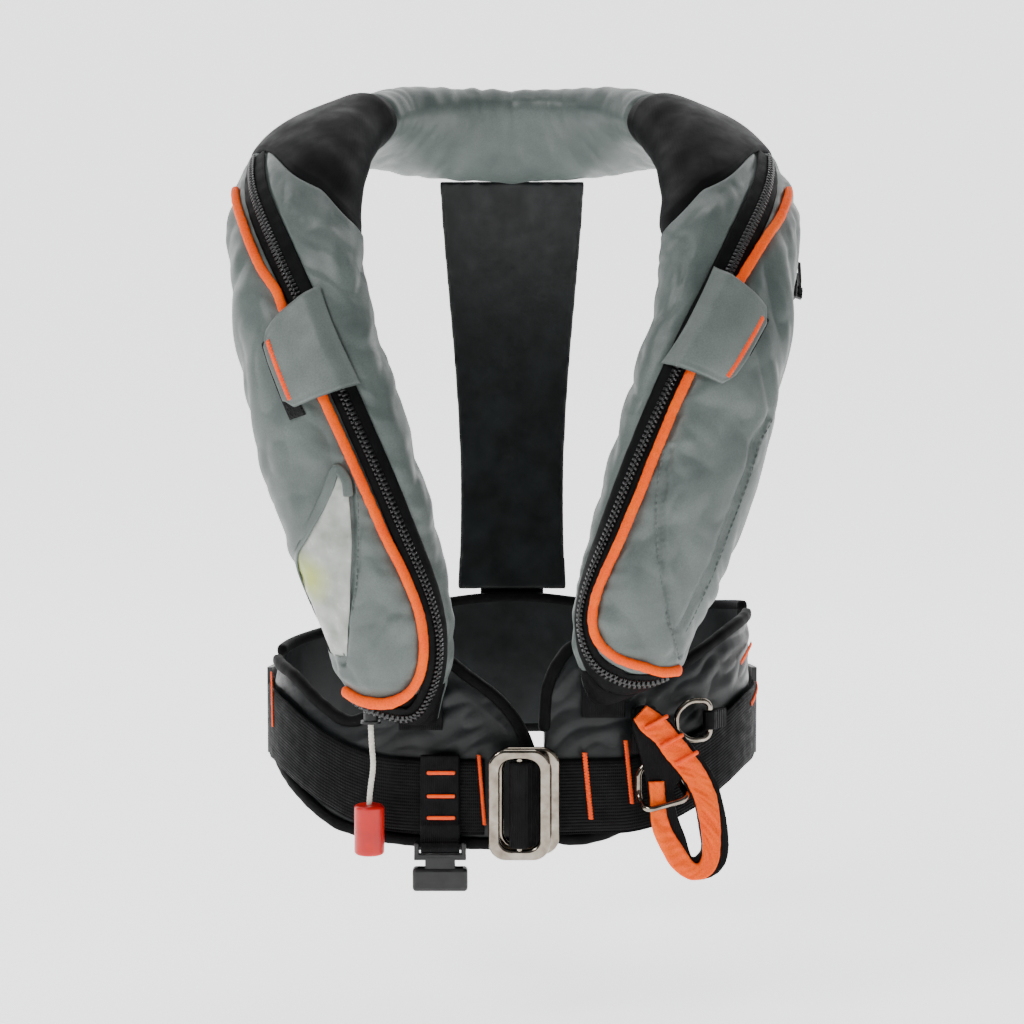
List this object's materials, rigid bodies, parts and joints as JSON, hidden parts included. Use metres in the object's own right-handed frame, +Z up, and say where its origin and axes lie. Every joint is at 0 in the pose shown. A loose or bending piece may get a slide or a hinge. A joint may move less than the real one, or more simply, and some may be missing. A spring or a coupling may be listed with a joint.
{
  "type": "inflatable life jacket",
  "caption": "Inflatable life jacket: zipped yoke of packed bladder over the shoulders, padded waist wings, webbing belt, steel frame buckle, tether loop and manual pull.",
  "frame": {"origin": "middle of the neck opening, level with the front of the shoulders", "axes": "+Z up the wearer's neck, -Y the wearer's front, +X the wearer's left"},
  "size_m": [0.3651, 0.3185, 0.5081],
  "materials": {
    "cover_cloth": "satin coated cloth",
    "stretch_panel": "smooth black stretch laminate",
    "zip_tape": "black zip tape with moulded teeth",
    "piping": "bright orange binding",
    "tab_cloth": "satin coated cloth",
    "hook_tape": "black hook tape",
    "window_film": "clear flexible film",
    "bladder_film": "yellow coated cloth",
    "wing_cloth": "dark padded cloth with a sheen",
    "belt_webbing": "black woven webbing",
    "stitching": "orange thread",
    "steel": "polished stainless steel",
    "black_plastic": "black moulded plastic",
    "sleeve_cloth": "orange ruched sleeve",
    "toggle_plastic": "red moulded plastic",
    "cord": "off-white braid",
    "gas_steel": "zinc plated",
    "indicator": "green moulded plastic",
    "tube_rubber": "black moulded rubber",
    "whistle_plastic": "orange moulded plastic"
  },
  "bodies": {
    "jacket": {"cover_right": "cover_cloth", "cover_left": "cover_cloth", "collar_cover": "cover_cloth", "shoulder_right": "stretch_panel", "shoulder_left": "stretch_panel", "zip_right": "zip_tape", "zip_left": "zip_tape", "side_zip": "zip_tape", "piping_right": "piping", "piping_left": "piping", "hook_right": "hook_tape", "hook_left": "hook_tape", "window": "window_film", "bladder": "bladder_film", "waist_wing_right": "wing_cloth", "waist_wing_left": "wing_cloth", "back_wing": "wing_cloth", "back_panel": "wing_cloth", "belt_right": "belt_webbing", "belt_left": "belt_webbing", "belt_back": "belt_webbing", "back_strap": "belt_webbing", "crotch_loop": "belt_webbing", "tether_anchor": "belt_webbing", "ring_keeper": "belt_webbing", "lobe_hanger_right": "belt_webbing", "lobe_hanger_left": "belt_webbing", "belt_tacks_right": "stitching", "belt_tacks_left": "stitching", "crotch_tacks": "stitching", "buckle_rear_frame": "steel", "back_slide": "black_plastic", "side_slide_right": "black_plastic", "side_slide_left": "black_plastic", "inflator_body": "black_plastic", "grommet": "black_plastic", "sensor_cap": "black_plastic", "gas_cylinder": "gas_steel", "status_tag": "indicator", "oral_tube": "tube_rubber", "oral_tube_cap": "tube_rubber", "whistle": "whistle_plastic"},
    "buckle_front": {"buckle_front_frame": "steel", "belt_end_fold": "belt_webbing"},
    "crotch_buckle": {"crotch_socket": "black_plastic"},
    "tab_right_flap": {"tab_right": "tab_cloth"},
    "tab_left_flap": {"tab_left": "tab_cloth"},
    "manual_pull": {"pull_toggle": "toggle_plastic", "pull_cord": "cord", "pull_cord_inner": "cord"},
    "lever": {"firing_lever": "black_plastic"},
    "slider": {"zip_slider": "black_plastic"},
    "puller": {"zip_pull": "black_plastic"},
    "tether_loop": {"tether_webbing": "belt_webbing", "tether_sleeve": "sleeve_cloth", "tether_tacks": "stitching"},
    "lower_ring_body": {"lower_ring": "steel"},
    "upper_ring_body": {"upper_ring": "steel"}
  },
  "joints": [
    {"name": "buckle_turn", "type": "hinge", "parent": "jacket", "child": "buckle_front", "pos_m": [0.0265, -0.117, -0.379], "axis": [0, 0, 1], "range_deg": [0, 80]},
    {"name": "crotch_buckle_swing", "type": "hinge", "parent": "jacket", "child": "crotch_buckle", "pos_m": [-0.0456, -0.1138, -0.4095], "axis": [-1, 0, 0], "range_deg": [-10, 60]},
    {"name": "tab_right_lift", "type": "hinge", "parent": "jacket", "child": "tab_right_flap", "pos_m": [-0.10584, -0.15467, -0.08162], "axis": [-0.3878, 0.3131, 0.8669], "range_deg": [0, 105]},
    {"name": "tab_left_lift", "type": "hinge", "parent": "jacket", "child": "tab_left_flap", "pos_m": [0.10805, -0.1487, -0.06989], "axis": [-0.4755, -0.3313, -0.815], "range_deg": [0, 105]},
    {"name": "manual_pull_slide", "type": "slide", "parent": "jacket", "child": "manual_pull", "axis": [0, 0, -1], "range_m": [0, 0.02]},
    {"name": "lever_turn", "type": "hinge", "parent": "jacket", "child": "lever", "pos_m": [-0.102, -0.119, -0.262], "axis": [0, 1, 0], "range_deg": [0, 90.2]},
    {"name": "zip_slide", "type": "slide", "parent": "jacket", "child": "slider", "axis": [-0.1032, -0.5309, -0.8411], "range_m": [0, 0.012]},
    {"name": "zip_pull_swing", "type": "hinge", "parent": "slider", "child": "puller", "pos_m": [0.18137, -0.07833, -0.06006], "axis": [-0.3961, 0.7557, -0.5216], "range_deg": [0, 60]},
    {"name": "tether_loop_swing", "type": "hinge", "parent": "jacket", "child": "tether_loop", "pos_m": [0.074, -0.1125, -0.323], "axis": [0.1026, 0, -0.9947], "range_deg": [0, 80]},
    {"name": "lower_ring_slide", "type": "slide", "parent": "tether_loop", "child": "lower_ring_body", "axis": [0.1565, 0.0333, -0.9871], "range_m": [0, 0.014]},
    {"name": "upper_ring_swing", "type": "hinge", "parent": "jacket", "child": "upper_ring_body", "pos_m": [0.1265, -0.086, -0.3325], "axis": [0, 0, 1], "range_deg": [0, 15]}
  ],
  "couplings": [
    {"joint": "lever_turn", "follows": "manual_pull_slide", "rad_per_m": 78.5}
  ]
}
